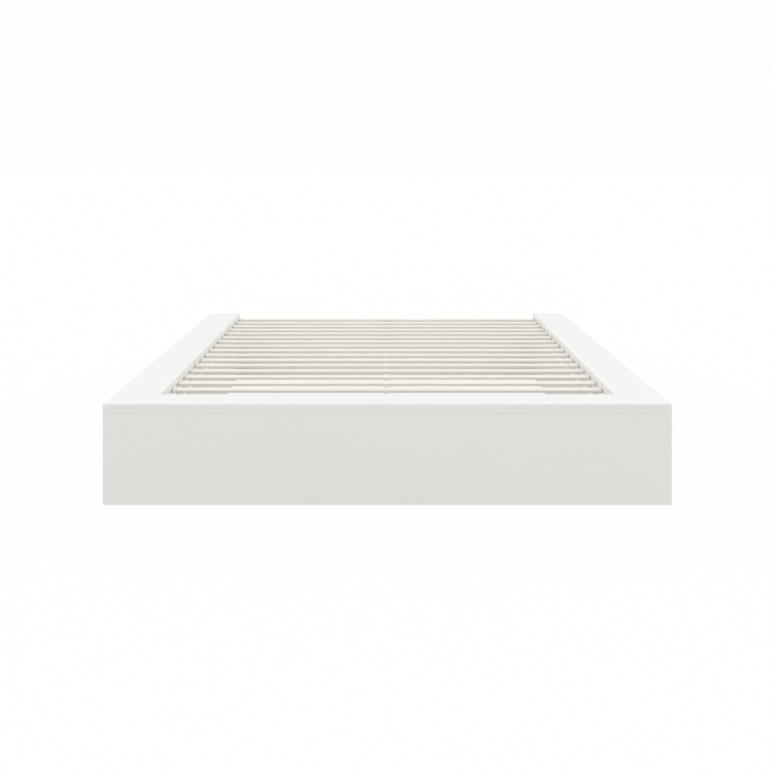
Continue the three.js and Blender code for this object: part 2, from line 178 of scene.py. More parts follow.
def draw_out(x, y, z):
    """In edit mode, draws the picked elements out by a step."""
    bpy.ops.mesh.extrude_region_move(TRANSFORM_OT_translate={"value": (x, y, z)})


def apply_modifier(piece, modifier):
    take_up(piece)
    bpy.ops.object.modifier_apply(modifier=modifier.name)


def settle(piece, smooth_angle=None):
    """Puts a piece's place and turn into its mesh, and shades it smooth up to an angle in degrees."""
    take_up(piece)
    bpy.ops.object.transform_apply(location=True, rotation=True, scale=True)
    if smooth_angle is not None:
        bpy.ops.object.shade_smooth_by_angle(angle=math.radians(smooth_angle))


def cylinder(sides, radius, height, base=0.0):
    """An upright cylinder about the middle of the world, whose foot is at the base height."""
    put_down()
    bpy.ops.mesh.primitive_cylinder_add(
        vertices=sides, radius=radius, depth=height, location=(0, 0, base + height / 2))
    piece = bpy.context.object
    settle(piece)
    return piece


def ease_edges(piece, wanted, width, segments=1):
    """Bevels the edges of a piece that pass a test."""
    take_up(piece)
    bpy.ops.object.mode_set(mode="EDIT")
    pick("edges", wanted)
    bpy.ops.mesh.bevel(offset=width, segments=segments)
    bpy.ops.object.mode_set(mode="OBJECT")


def carve(piece, cutter, operation):
    """Cuts a piece by another, joins it on, or keeps what they share, and clears the cutter away."""
    boolean = piece.modifiers.new("cut", "BOOLEAN")
    boolean.object = cutter
    boolean.operation = operation
    boolean.solver = "EXACT"
    boolean.use_self = True
    apply_modifier(piece, boolean)
    take_up(cutter)
    bpy.ops.object.delete()


# Material building, where an input is given as a socket to link it to or as a plain value


def feed(tree, source, socket):
    """Links a source to an input if it is a socket, or else sets the input to its value."""
    if isinstance(source, bpy.types.NodeSocket):
        tree.links.new(source, socket)
    elif socket.type == "RGBA":
        socket.default_value = (*source, 1.0)
    else:
        socket.default_value = source


def add(tree, kind, settings=None, inputs=None):
    """Adds a node with its settings and its inputs."""
    node = tree.nodes.new(kind)
    for key, value in (settings or {}).items():
        setattr(node, key, value)
    for key, source in (inputs or {}).items():
        feed(tree, source, node.inputs[key])
    return node


def new_group(name, inputs, outputs):
    """A shader node group from (label, type, value) and (label, type) rows, with its two ends' sockets."""
    group = bpy.data.node_groups.new(name, "ShaderNodeTree")
    for label, kind, value in inputs:
        socket = group.interface.new_socket(label, in_out="INPUT", socket_type=kind)
        socket.default_value = value
    for label, kind in outputs:
        group.interface.new_socket(label, in_out="OUTPUT", socket_type=kind)
    return group, group.nodes.new("NodeGroupInput").outputs, group.nodes.new("NodeGroupOutput").inputs


def new_material(name, **shader_values):
    """A material, its node tree, its Principled shader and its object coordinates."""
    material = bpy.data.materials.new(name)
    material.use_nodes = True
    tree = material.node_tree
    shader = tree.nodes["Principled BSDF"]
    for label, value in shader_values.items():
        shader.inputs[label.replace("_", " ")].default_value = value
    return material, tree, shader, add(tree, "ShaderNodeTexCoord").outputs["Object"]


def calculate(tree, operation, first, second=None):
    """A Math node with one operand or two."""
    operands = {0: first} if second is None else {0: first, 1: second}
    return add(tree, "ShaderNodeMath", {"operation": operation}, operands).outputs[0]


def spread(tree, value, low, high, low_out=0.0, high_out=1.0):
    """Carries a value from one span to another, clamped."""
    return add(tree, "ShaderNodeMapRange", {"clamp": True}, {
        "Value": value, "From Min": low, "From Max": high, "To Min": low_out, "To Max": high_out,
    }).outputs["Result"]


def blend_values(tree, share, first, second):
    return add(tree, "ShaderNodeMix", {"data_type": "FLOAT"}, {0: share, 2: first, 3: second}).outputs[0]


def blend_colours(tree, share, first, second):
    return add(tree, "ShaderNodeMix", {"data_type": "RGBA"}, {0: share, 6: first, 7: second}).outputs[2]


def scaled_colour(tree, colour, factor):
    node = add(tree, "ShaderNodeVectorMath", {"operation": "SCALE"}, {0: colour, "Scale": factor})
    return node.outputs["Vector"]


def split(tree, vector):
    """The X, Y and Z of a vector, by those names."""
    return add(tree, "ShaderNodeSeparateXYZ", inputs={"Vector": vector}).outputs


def stretched(tree, vector, scale):
    """The vector scaled by (x, y, z)."""
    return add(tree, "ShaderNodeMapping", inputs={"Vector": vector, "Scale": scale}).outputs["Vector"]


def shifted(tree, vector, axis, distance):
    """The vector moved along one axis."""
    shift = add(tree, "ShaderNodeCombineXYZ", inputs={axis: distance}).outputs["Vector"]
    return add(tree, "ShaderNodeVectorMath", {"operation": "ADD"}, {0: vector, 1: shift}).outputs["Vector"]


def noise(tree, vector, scale, detail=2.0, roughness=0.5):
    return add(tree, "ShaderNodeTexNoise", inputs={
        "Vector": vector, "Scale": scale, "Detail": detail, "Roughness": roughness,
    }).outputs["Fac"]


def wave(tree, value, length):
    """A sine wave along a value."""
    return calculate(tree, "SINE", calculate(tree, "MULTIPLY", value, 2 * math.pi / length))


def cells(tree, vector, scale):
    """Flat cells: the distance from each one's middle, and three random values of its own as X, Y and Z."""
    node = add(tree, "ShaderNodeTexVoronoi", {"feature": "F1"}, {
        "Vector": vector, "Scale": scale, "Randomness": 1.0,
    })
    return node.outputs["Distance"], split(tree, node.outputs["Color"])


def use(tree, group, inputs):
    """Places a node group and hands back its outputs."""
    return add(tree, "ShaderNodeGroup", {"node_tree": group}, inputs).outputs


# Effects that several materials share


def make_tone_drift():
    """A slow change of tone across a surface, as a factor near 1."""
    group, entry, leave = new_group("tone drift", [
        ("Vector", "NodeSocketVector", (0, 0, 0)),
        ("Scale", "NodeSocketFloat", 3.0),
        ("Amount", "NodeSocketFloat", 0.02),
    ], [("Factor", "NodeSocketFloat")])
    cloud = noise(group, entry["Vector"], entry["Scale"], detail=3.0, roughness=0.55)
    centred = calculate(group, "SUBTRACT", cloud, 0.5)
    swing = calculate(group, "MULTIPLY", centred, entry["Amount"])
    group.links.new(calculate(group, "ADD", swing, 1.0), leave["Factor"])
    return group


def make_fine_skin():
    """A fine raised grain, as on foil, moulded plastic or a zinc coat."""
    group, entry, leave = new_group("fine skin", [
        ("Vector", "NodeSocketVector", (0, 0, 0)),
        ("Scale", "NodeSocketFloat", 900.0),
        ("Depth", "NodeSocketFloat", 0.02 * MM),
        ("Strength", "NodeSocketFloat", 0.3),
    ], [("Normal", "NodeSocketVector"), ("Mask", "NodeSocketFloat")])
    grit = noise(group, entry["Vector"], entry["Scale"], roughness=0.6)
    bump = add(group, "ShaderNodeBump", inputs={
        "Strength": entry["Strength"], "Distance": entry["Depth"], "Height": grit,
    })
    group.links.new(bump.outputs["Normal"], leave["Normal"])
    group.links.new(grit, leave["Mask"])
    return group


def make_long_grain():
    """Wood grain along X: bands that wander, with fine pore streaks between them."""
    group, entry, leave = new_group("long grain", [
        ("Vector", "NodeSocketVector", (0, 0, 0)),
        ("Band scale", "NodeSocketFloat", 40.0),
        ("Pore scale", "NodeSocketFloat", 700.0),
    ], [("Bands", "NodeSocketFloat"), ("Pores", "NodeSocketFloat")])
    sway_stretch = (1.1, 9.0, 9.0)
    band_stretch = (0.03, 1.0, 1.0)
    pore_stretch = (0.02, 1.0, 1.0)
    widest_sway = 0.03
    vector = entry["Vector"]
    wander = noise(group, stretched(group, vector, sway_stretch), 1.0)
    sway = calculate(group, "MULTIPLY", wander, widest_sway)
    bent = shifted(group, stretched(group, vector, band_stretch), "Y", sway)
    bands = noise(group, bent, entry["Band scale"], detail=3.0, roughness=0.6)
    streaks = noise(group, stretched(group, vector, pore_stretch), entry["Pore scale"], detail=1.0)
    group.links.new(bands, leave["Bands"])
    group.links.new(spread(group, streaks, 0.58, 0.72), leave["Pores"])
    return group


TONE_DRIFT = make_tone_drift()
FINE_SKIN = make_fine_skin()
LONG_GRAIN = make_long_grain()


def colour_with_drift(tree, shader, where, colour, scale, amount):
    """Gives the shader a colour whose tone drifts over the surface."""
    drift = use(tree, TONE_DRIFT, {"Vector": where, "Scale": scale, "Amount": amount})
    tree.links.new(scaled_colour(tree, colour, drift["Factor"]), shader.inputs["Base Color"])


# Most of a noise lies in the first of these spans, and the whole of a random value in the second
NOISE_SPAN = (0.3, 0.7)
WHOLE_SPAN = (0.0, 1.0)


def roughen(tree, shader, mask, roughness, span=NOISE_SPAN):
    """Carries a mask from its span to a span of roughness."""
    tree.links.new(spread(tree, mask, *span, *roughness), shader.inputs["Roughness"])


def raise_surface(tree, shader, height, strength, depth):
    """Lets a height stand out of the surface."""
    bump = add(tree, "ShaderNodeBump", inputs={"Strength": strength, "Distance": depth, "Height": height})
    tree.links.new(bump.outputs["Normal"], shader.inputs["Normal"])


def skin_over(tree, shader, where, scale, depth, strength):
    """Lays the fine skin over the surface and hands back its mask."""
    skin = use(tree, FINE_SKIN, {"Vector": where, "Scale": scale, "Depth": depth, "Strength": strength})
    tree.links.new(skin["Normal"], shader.inputs["Normal"])
    return skin["Mask"]


# Materials


def white_foil():
    """White foil on board: satin, very slightly rippled, with a faint cream drift."""
    cream = (0.788, 0.786, 0.764)
    white = (0.785, 0.785, 0.771)
    material, tree, shader, where = new_material("white foil board", Coat_Weight=0.12, Coat_Roughness=0.25)
    tint = blend_colours(tree, noise(tree, where, scale=1.3, detail=1.0), cream, white)
    colour_with_drift(tree, shader, where, tint, scale=2.2, amount=0.02)
    handled = noise(tree, where, scale=7.0, detail=4.0, roughness=0.6)
    roughen(tree, shader, handled, (0.38, 0.46))
    skin_over(tree, shader, where, scale=420.0, depth=0.04 * MM, strength=0.25)
    return material


# The slats are counted from this far before each one's foot edge, so that no slat has two numbers
SLAT_COUNT_LEAD = 10.0 * MM
SLAT_GRAIN_SHIFT = 7.0
VENEER_THICKNESS = 1.6 * MM
VENEER_LINE = (0.5 * MM, 1.1 * MM)
LONG_EDGE_SPAN = (0.8, 0.95)
SLAT_TONES = (0.975, 1.015)
SLAT_PORE_SHARE = 0.22


def birch_ply():
    """Pale birch slats: grain along each, a tone of its own, and veneer lines on the long edges."""
    pale = (0.820, 0.790, 0.737)
    deep = (0.785, 0.745, 0.676)
    pore = (0.70, 0.61, 0.49)
    light_veneer = (0.81, 0.765, 0.687)
    dark_veneer = (0.715, 0.662, 0.577)
    material, tree, shader, where = new_material("pale birch slats")
    place = split(tree, where)
    # Each slat's number along the bed gives it a tone and a stretch of grain of its own
    along = calculate(tree, "SUBTRACT", place["Y"], SLAT_SPANS[0][0] - SLAT_COUNT_LEAD)
    number = calculate(tree, "FLOOR", calculate(tree, "DIVIDE", along, SLAT_PITCH))
    own = add(tree, "ShaderNodeTexWhiteNoise", {"noise_dimensions": "1D"}, {"W": number}).outputs["Value"]
    moved = shifted(tree, where, "X", calculate(tree, "MULTIPLY", own, SLAT_GRAIN_SHIFT))
    grain = use(tree, LONG_GRAIN, {"Vector": moved, "Band scale": 60.0, "Pore scale": 900.0})
    face = blend_colours(tree, spread(tree, grain["Bands"], 0.32, 0.7), pale, deep)
    pores = calculate(tree, "MULTIPLY", grain["Pores"], SLAT_PORE_SHARE)
    face = blend_colours(tree, pores, face, pore)
    # The long edges show the veneers, one light and one dark in turn
    facing = split(tree, add(tree, "ShaderNodeNewGeometry").outputs["True Normal"])
    edge_on = spread(tree, calculate(tree, "ABSOLUTE", facing["Y"]), *LONG_EDGE_SPAN)
    height = calculate(tree, "SUBTRACT", place["Z"], SLAT_UNDERSIDE)
    line = spread(tree, calculate(tree, "PINGPONG", height, VENEER_THICKNESS), *VENEER_LINE)
    veneers = blend_colours(tree, line, light_veneer, dark_veneer)
    wood = blend_colours(tree, edge_on, face, veneers)
    own_tone = spread(tree, own, *WHOLE_SPAN, *SLAT_TONES)
    tree.links.new(scaled_colour(tree, wood, own_tone), shader.inputs["Base Color"])
    roughen(tree, shader, grain["Bands"], (0.5, 0.62))
    relief = calculate(tree, "SUBTRACT", grain["Bands"], pores)
    raise_surface(tree, shader, relief, strength=0.35, depth=0.08 * MM)
    return material


PINE_PORE_SHARE = 0.12


def painted_pine():
    """White paint over planed pine: the grain stands through it faintly, a touch warmer than the foil."""
    thick_paint = (0.85, 0.845, 0.82)
    thin_paint = (0.815, 0.807, 0.778)
    pore = (0.62, 0.58, 0.50)
    material, tree, shader, where = new_material("white painted pine")
    turned = add(tree, "ShaderNodeMapping", inputs={"Vector": where, "Rotation": (0, 0, math.radians(90))})
    grain = use(tree, LONG_GRAIN, {
        "Vector": turned.outputs["Vector"], "Band scale": 140.0, "Pore scale": 1100.0,
    })
    paint = blend_colours(tree, spread(tree, grain["Bands"], 0.38, 0.62), thick_paint, thin_paint)
    pores = calculate(tree, "MULTIPLY", grain["Pores"], PINE_PORE_SHARE)
    paint = blend_colours(tree, pores, paint, pore)
    colour_with_drift(tree, shader, where, paint, scale=5.0, amount=0.05)
    roughen(tree, shader, grain["Bands"], (0.48, 0.6))
    raise_surface(tree, shader, grain["Bands"], strength=0.3, depth=0.1 * MM)
    return material


def raw_chips():
    """Raw chipboard: pressed flakes of several tones with dark specks."""
    dark_flake = (0.40, 0.285, 0.165)
    light_flake = (0.60, 0.46, 0.29)
    speck = (0.22, 0.14, 0.08)
    material, tree, shader, where = new_material("raw chipboard")
    flattened = stretched(tree, where, (1.0, 1.0, 1.7))
    off_flake, flake = cells(tree, flattened, scale=260.0)
    wood = blend_colours(tree, flake["X"], dark_flake, light_flake)
    specks = spread(tree, noise(tree, where, scale=500.0), 0.66, 0.74)
    wood = blend_colours(tree, specks, wood, speck)
    colour_with_drift(tree, shader, where, wood, scale=9.0, amount=0.15)
    roughen(tree, shader, flake["Y"], (0.78, 0.92), WHOLE_SPAN)
    raise_surface(tree, shader, off_flake, strength=0.5, depth=0.2 * MM)
    return material


def galvanised():
    """Hot-dipped sheet: flat spangle cells, each with a tone and a gloss of its own."""
    dull = (0.78, 0.79, 0.795)
    bright = (0.865, 0.87, 0.875)
    material, tree, shader, where = new_material("galvanised steel", Metallic=1.0)
    spangle = cells(tree, where, scale=110.0)[1]
    metal = blend_colours(tree, spangle["X"], dull, bright)
    colour_with_drift(tree, shader, where, metal, scale=6.0, amount=0.08)
    roughen(tree, shader, spangle["Y"], (0.54, 0.7), WHOLE_SPAN)
    skin_over(tree, shader, where, scale=1500.0, depth=0.03 * MM, strength=0.3)
    return material


def bright_zinc():
    """Electroplated zinc on fasteners and angles: brighter, with a faint blue and straw cast."""
    blue_cast = (0.77, 0.785, 0.81)
    straw_cast = (0.82, 0.815, 0.79)
    material, tree, shader, where = new_material("bright zinc", Metallic=1.0)
    metal = blend_colours(tree, noise(tree, where, scale=45.0, detail=3.0), blue_cast, straw_cast)
    colour_with_drift(tree, shader, where, metal, scale=25.0, amount=0.1)
    skin = skin_over(tree, shader, where, scale=2200.0, depth=0.02 * MM, strength=0.25)
    roughen(tree, shader, skin, (0.4, 0.54))
    return material


def moulded(name, colour, roughness, skin_scale):
    """Moulded plastic with a fine spark-eroded skin."""
    material, tree, shader, where = new_material(name)
    colour_with_drift(tree, shader, where, colour, scale=60.0, amount=0.12)
    skin = skin_over(tree, shader, where, skin_scale, depth=0.05 * MM, strength=0.5)
    roughen(tree, shader, skin, roughness)
    return material


TAPE_RIB = 2.0 * MM
TAPE_YARN = 0.75 * MM
TAPE_YARN_SHARE = 0.35
TAPE_WEAVE_SPAN = (-1.2, 1.2)
TAPE_SELVEDGE = (0.41 * TAPE_WIDTH, 0.455 * TAPE_WIDTH)


def herringbone_tape():
    """Cream herringbone tape: slanted ribs that meet along the middle, with painted shade in the weave's
    hollows and paler edges.
    """
    shaded_hollow = (0.715, 0.69, 0.635)
    lit_crest = (0.835, 0.815, 0.77)
    selvedge = (0.825, 0.805, 0.76)
    material, tree, shader, where = new_material("herringbone tape", Sheen_Weight=0.25, Sheen_Roughness=0.5)
    place = split(tree, where)
    across = calculate(tree, "SUBTRACT", calculate(tree, "ABSOLUTE", place["X"]), TAPE_OFF_MIDDLE)
    off_middle = calculate(tree, "ABSOLUTE", across)
    rib = wave(tree, calculate(tree, "ADD", place["Y"], off_middle), TAPE_RIB)
    yarn = wave(tree, place["X"], TAPE_YARN)
    height = calculate(tree, "ADD", rib, calculate(tree, "MULTIPLY", yarn, TAPE_YARN_SHARE))
    shade = spread(tree, height, *TAPE_WEAVE_SPAN)
    # Painted shade: the colour darkens into the weave's hollows and lightens on its crests, following the
    # weave's height
    cloth = blend_colours(tree, shade, shaded_hollow, lit_crest)
    cloth = blend_colours(tree, spread(tree, off_middle, *TAPE_SELVEDGE), cloth, selvedge)
    colour_with_drift(tree, shader, where, cloth, scale=30.0, amount=0.1)
    roughen(tree, shader, shade, (0.95, 0.82), WHOLE_SPAN)
    raise_surface(tree, shader, height, strength=0.7, depth=0.2 * MM)
    return material


SLOT_FINISHES = {
    "white_board": white_foil(),
    "slat_birch": birch_ply(),
    "painted_pine": painted_pine(),
    "raw_chipboard": raw_chips(),
    "galvanised_steel": galvanised(),
    "zinc_steel": bright_zinc(),
    "dark_plastic": moulded("dark moulded plastic", (0.030, 0.030, 0.032), (0.42, 0.58), 1300.0),
    "pale_plastic": moulded("pale moulded plastic", (0.78, 0.78, 0.76), (0.38, 0.5), 1600.0),
    "slat_webbing": herringbone_tape(),
}


def finish_packed_nodes():
    """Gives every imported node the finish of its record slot."""
    for part in frame["record"]["subparts"]:
        mesh = nodes[part["node"]].data
        mesh.materials.clear()
        mesh.materials.append(SLOT_FINISHES[part["material_slot"]])


def dress(piece, slot, body="bed_frame"):
    """Gives a new piece the finish of a record slot, and the body that it rides on."""
    piece.data.materials.clear()
    piece.data.materials.append(SLOT_FINISHES[slot])
    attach(piece, body)


# Fasteners, all zinc plated, each kind modelled once and copied


SMOOTH_ANGLE = 30

# The turn in degrees that carries a fastener's axis, which is +Z as modelled, to where its head faces
FACING = {
    "+x": (0, 90, 0),
    "-x": (0, -90, 0),
    "+y": (-90, 0, 0),
    "-y": (90, 0, 0),
    "+z": (0, 0, 0),
    "-z": (180, 0, 0),
}


def set_copies(pattern, places, smooth_angle=SMOOTH_ANGLE):
    """Sets down a copy of a pattern at every (name, place, facing, twist), then clears the pattern away."""
    for name, place, facing, twist in places:
        take_up(pattern)
        bpy.ops.object.duplicate(linked=False)
        copy = bpy.context.object
        copy.name = name
        copy.data.name = name
        copy.rotation_euler = (0, 0, math.radians(twist))
        bpy.ops.object.transform_apply(location=False, rotation=True, scale=False)
        copy.rotation_euler = [math.radians(angle) for angle in FACING[facing]]
        copy.location = place
        settle(copy, smooth_angle)
        dress(copy, "zinc_steel")
    take_up(pattern)
    bpy.ops.object.delete()


# Slat tapes


TAPE_CLOTH_THICKNESS = 0.9 * MM
TAPE_SAG = 1.6 * MM
TAPE_SAG_STEPS = 6
TAPE_TOP = SLAT_UNDERSIDE - 0.1 * MM
TAPE_EASE = 0.25 * MM
TAPE_SMOOTH_ANGLE = 40

# The tape's upright edges lean along it in the sags by less than this
TAPE_LEAN = 0.1 * MM


def runs_along_tape(edge):
    """A test for the long edges of a tape."""
    on_side = near(abs(middle_of(edge).x), TAPE_WIDTH / 2)
    return on_side and abs(edge.verts[0].co.y - edge.verts[1].co.y) > TAPE_LEAN


def slat_tape(name, side, node):
    """A tape drawn out from the foot to the head: flat under each slat, with a shallow sag in each gap."""
    put_down()
    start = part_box(node)[0].y
    bpy.ops.mesh.primitive_plane_add(size=TAPE_WIDTH, location=(side * TAPE_OFF_MIDDLE, start, TAPE_TOP))
    tape = bpy.context.object
    tape.name = tape.data.name = name
    bpy.ops.object.mode_set(mode="EDIT")
    pick("verts", lambda v: v.co.y > 0)
    bpy.ops.mesh.delete(type="VERT")
    pick("verts")
    bpy.ops.transform.translate(value=(0, TAPE_WIDTH / 2, 0))
    pick("edges")
    reached = start
    for index, (foot_edge, head_edge) in enumerate(SLAT_SPANS):
        gap = foot_edge - reached
        steps = TAPE_SAG_STEPS if index else 1
        sag = TAPE_SAG if index else 0.0
        low = 0.0
        for step in range(1, steps + 1):
            share = step / steps
            now = sag * 4 * share * (1 - share)
            draw_out(0, gap / steps, low - now)
            low = now
        draw_out(0, head_edge - foot_edge, 0)
        reached = head_edge
    draw_out(0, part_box(node)[1].y - reached, 0)
    bpy.ops.object.mode_set(mode="OBJECT")
    wall = tape.modifiers.new("thickness", "SOLIDIFY")
    wall.thickness = TAPE_CLOTH_THICKNESS
    wall.offset = -1
    apply_modifier(tape, wall)
    bpy.ops.object.mode_set(mode="EDIT")
    pick("faces")
    bpy.ops.mesh.normals_make_consistent(inside=False)
    ease_edges(tape, runs_along_tape, TAPE_EASE)
    settle(tape, TAPE_SMOOTH_ANGLE)
    dress(tape, "slat_webbing")
    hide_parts(node)


STAPLE_CROWN = 8.0 * MM
STAPLE_WIRE = 1.1 * MM
STAPLE_FLAT = 0.5 * MM
STAPLE_LEG = 1.2 * MM
STAPLE_BEND = 0.3 * MM
STAPLE_ROW_INSET = 13.0 * MM

# The staples lean by steps of so many degrees, one more from slat to slat and then back again
STAPLE_LEAN_STEP = 1.3
STAPLE_LEANS = 9
STAPLE_FIRST_LEANS = {"a": 5, "b": 2}


def staple_pattern():
    """A staple's crown with its two bent corners, lying under the tape with its legs up."""
    put_down()
    bpy.ops.mesh.primitive_cube_add(size=1, location=(0, 0, 0))
    staple = bpy.context.object
    bpy.ops.object.mode_set(mode="EDIT")
    bpy.ops.transform.resize(value=(STAPLE_CROWN, STAPLE_WIRE, STAPLE_FLAT))
    leg_start = STAPLE_CROWN / 2 - STAPLE_FLAT
    for side in SIDES.values():
        pick("faces")
        bpy.ops.mesh.bisect(plane_co=(side * leg_start, 0, 0), plane_no=(1, 0, 0))
    pick("faces", lambda f: faces_up(f) and abs(f.calc_center_median().x) > leg_start)
    draw_out(0, 0, STAPLE_LEG)
    lies_under = level_at(-STAPLE_FLAT / 2)
    ease_edges(staple, lambda e: lies_under(e) and near(abs(middle_of(e).x), STAPLE_CROWN / 2),
               STAPLE_BEND, segments=2)
    return staple


def staple_tapes():
    """Two staples through each tape into every slat."""
    places = []
    level = TAPE_TOP - TAPE_CLOTH_THICKNESS - STAPLE_FLAT / 2
    for side_name, side in SIDES.items():
        for number, (foot_edge, head_edge) in enumerate(SLAT_SPANS, 1):
            for row, y in (("a", foot_edge + STAPLE_ROW_INSET), ("b", head_edge - STAPLE_ROW_INSET)):
                lean = (number + STAPLE_FIRST_LEANS[row]) % STAPLE_LEANS - STAPLE_LEANS // 2
                places.append((f"{side_name}_staple_{number:02d}{row}",
                               (side * TAPE_OFF_MIDDLE, y, level), "+z", lean * STAPLE_LEAN_STEP))
    set_copies(staple_pattern(), places, smooth_angle=None)


# Screws


SCREW_SIDES = 24

# A cross recess: the width of its slots as a share of their length, and their foot as shares of their top
CROSS_WIDTH = 0.24
CROSS_FOOT = (0.45, 0.7, 1)


def cut_cross(screw, length, depth, top):
    """Cuts a cross recess down from a screw's top: two crossing slots that narrow towards their foot."""
    put_down()
    bpy.ops.mesh.primitive_cube_add(size=1, location=(0, 0, 0))
    cutter = bpy.context.object
    bpy.ops.object.mode_set(mode="EDIT")
    bpy.ops.transform.resize(value=(length, CROSS_WIDTH * length, 2 * depth))
    bpy.ops.transform.translate(value=(0, 0, top))
    pick("faces", faces_down)
    bpy.ops.transform.resize(value=CROSS_FOOT, center_override=(0, 0, top))
    pick("faces")
    bpy.ops.mesh.duplicate()
    bpy.ops.transform.rotate(value=math.radians(90), orient_axis="Z", center_override=(0, 0, 0))
    bpy.ops.object.mode_set(mode="OBJECT")
    carve(screw, cutter, "DIFFERENCE")


COUNTERSUNK_RADIUS = 4.6 * MM
COUNTERSUNK_DEPTH = 2.6 * MM
COUNTERSUNK_RIM = 0.2 * MM
COUNTERSUNK_SHANK = 2.2 * MM
COUNTERSUNK_LENGTH = 14.0 * MM
COUNTERSUNK_DROP = 0.15 * MM
COUNTERSUNK_RECESS = 1.1 * COUNTERSUNK_RADIUS
COUNTERSUNK_RECESS_DEPTH = 0.6 * COUNTERSUNK_DEPTH


def countersunk_pattern():
    """A countersunk screw whose flat head lies just under Z = 0, with its shank below."""
    top = -COUNTERSUNK_DROP
    screw = cylinder(SCREW_SIDES, COUNTERSUNK_RADIUS, COUNTERSUNK_DEPTH, base=top - COUNTERSUNK_DEPTH)
    bpy.ops.object.mode_set(mode="EDIT")
    narrow = COUNTERSUNK_SHANK / COUNTERSUNK_RADIUS
    pick("faces", faces_down)
    bpy.ops.transform.resize(value=(narrow, narrow, 1), center_override=(0, 0, 0))
    draw_out(0, 0, -COUNTERSUNK_LENGTH)
    ease_edges(screw, level_at(top), COUNTERSUNK_RIM, segments=2)
    cut_cross(screw, COUNTERSUNK_RECESS, COUNTERSUNK_RECESS_DEPTH, top)
    return screw


LEDGER_SCREWS = 7
LEDGER_SCREW_INSET = 110.0 * MM
LEDGER_SCREW_TWIST = 17


def screw_down_ledgers():
    """A row of countersunk screws through each slat ledger."""
    places = []
    for side_name, side in SIDES.items():
        low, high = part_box(f"{side_name}_slat_ledger")
        face = high.x if side < 0 else low.x
        level = (low.z + high.z) / 2
        reach = high.y - low.y - 2 * LEDGER_SCREW_INSET
        for number in range(LEDGER_SCREWS):
            y = low.y + LEDGER_SCREW_INSET + reach * number / (LEDGER_SCREWS - 1)
            places.append((f"{side_name}_ledger_screw_{number + 1}", (face, y, level),
                           INTO_BED[side_name], LEDGER_SCREW_TWIST * number))
    set_copies(countersunk_pattern(), places)


PAN_HEAD_RADIUS = 4.4 * MM
PAN_HEAD_HEIGHT = 2.2 * MM
PAN_HEAD_CROWN = 1.1 * MM
PAN_HEAD_RECESS = 4.2 * MM
PAN_HEAD_RECESS_DEPTH = 0.7 * PAN_HEAD_HEIGHT


def pan_head_pattern():
    """A screw's head standing on Z = 0, with a rounded rim and a cross recess."""
    screw = cylinder(SCREW_SIDES, PAN_HEAD_RADIUS, PAN_HEAD_HEIGHT)
    ease_edges(screw, level_at(PAN_HEAD_HEIGHT), PAN_HEAD_CROWN, segments=3)
    cut_cross(screw, PAN_HEAD_RECESS, PAN_HEAD_RECESS_DEPTH, PAN_HEAD_HEIGHT)
    return screw


ANGLE_REACH = 39.0 * MM
ANGLE_HOLE_LIFT = 38.0 * MM
ANGLE_STEEL = 3.0 * MM
END_SCREW_TWISTS = {"left": -8, "right": 54}
SIDE_SCREW_TWISTS = {"foot": 21, "head": 59}


def angle_screws():
    """Two screws through each leg of the corner angles, one leg at the end panel and one at the side."""
    places = []
    for end, end_way in ENDS.items():
        for side_name, side in SIDES.items():
            low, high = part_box(f"{end}_{side_name}_angle")
            x = low.x if side < 0 else high.x
            y = low.y if end_way < 0 else high.y
            middle = (low.z + high.z) / 2
            for row, z in (("low", middle - ANGLE_HOLE_LIFT), ("high", middle + ANGLE_HOLE_LIFT)):
                name = f"{end}_{side_name}_angle_{row}"
                on_end = (x - side * ANGLE_REACH, y - end_way * ANGLE_STEEL, z)
                on_side = (x - side * ANGLE_STEEL, y - end_way * ANGLE_REACH, z)
                places.append((f"{name}_end_screw", on_end, INTO_BED[end], END_SCREW_TWISTS[side_name]))
                places.append((f"{name}_side_screw", on_side, INTO_BED[side_name], SIDE_SCREW_TWISTS[end]))
    return places


HANGER_HOLE_EDGE = 12.0 * MM
HANGER_FLANGE = 17.0 * MM
HANGER_STEEL = 2.0 * MM
HANGER_SCREW_TWISTS = {"left": -5, "right": 25}


def hanger_screws():
    """Two screws in each flange of the middle beam's hangers."""
    places = []
    for end, end_way in ENDS.items():
        low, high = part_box(f"midbeam_{end}_hanger")
        plate_face = low.y + HANGER_STEEL if end_way < 0 else high.y - HANGER_STEEL
        for side_name, side in SIDES.items():
            x = side * ((high.x - low.x) / 2 - HANGER_FLANGE / 2)
            for row, z in (("low", low.z + HANGER_HOLE_EDGE), ("high", high.z - HANGER_HOLE_EDGE)):
                places.append((f"{end}_hanger_{side_name}_{row}_screw", (x, plate_face, z),
                               INTO_BED[end], HANGER_SCREW_TWISTS[side_name]))
    return places


# Bolts and nuts of the middle beam and its leg


BOLT_SIDES = 20
BOLT_RADIUS = 3.0 * MM
BOLT_TIP = 0.6 * MM
BOLT_CHAMFER = 0.7 * MM
HEX_RADIUS = 5.8 * MM
HEX_HEAD_HEIGHT = 4.0 * MM
NUT_HEIGHT = 5.0 * MM
NUT_CHAMFER = 0.6 * MM
NUT_CLEARANCE = 0.1 * MM
WASHER_SIDES = 28
WASHER_RADIUS = 7.5 * MM
WASHER_HEIGHT = 1.2 * MM
WASHER_EASE = 0.25 * MM
WASHER_CLEARANCE = 0.3 * MM

# The round that turns a hexagon's corners off: its sides, and its radius as a share of theirs
TURNING_SIDES = 32
TURNING_SHARE = 1.002


def hexagon_bar(radius, height, chamfer, both_ends):
    """A hexagonal bar standing on Z = 0, with its corners turned off at the top, or at both ends."""
    bar = cylinder(6, radius, height)
    turned = cylinder(TURNING_SIDES, TURNING_SHARE * radius, height)
    ease_edges(turned, is_level if both_ends else level_at(height), chamfer)
    carve(bar, turned, "INTERSECT")
    return bar


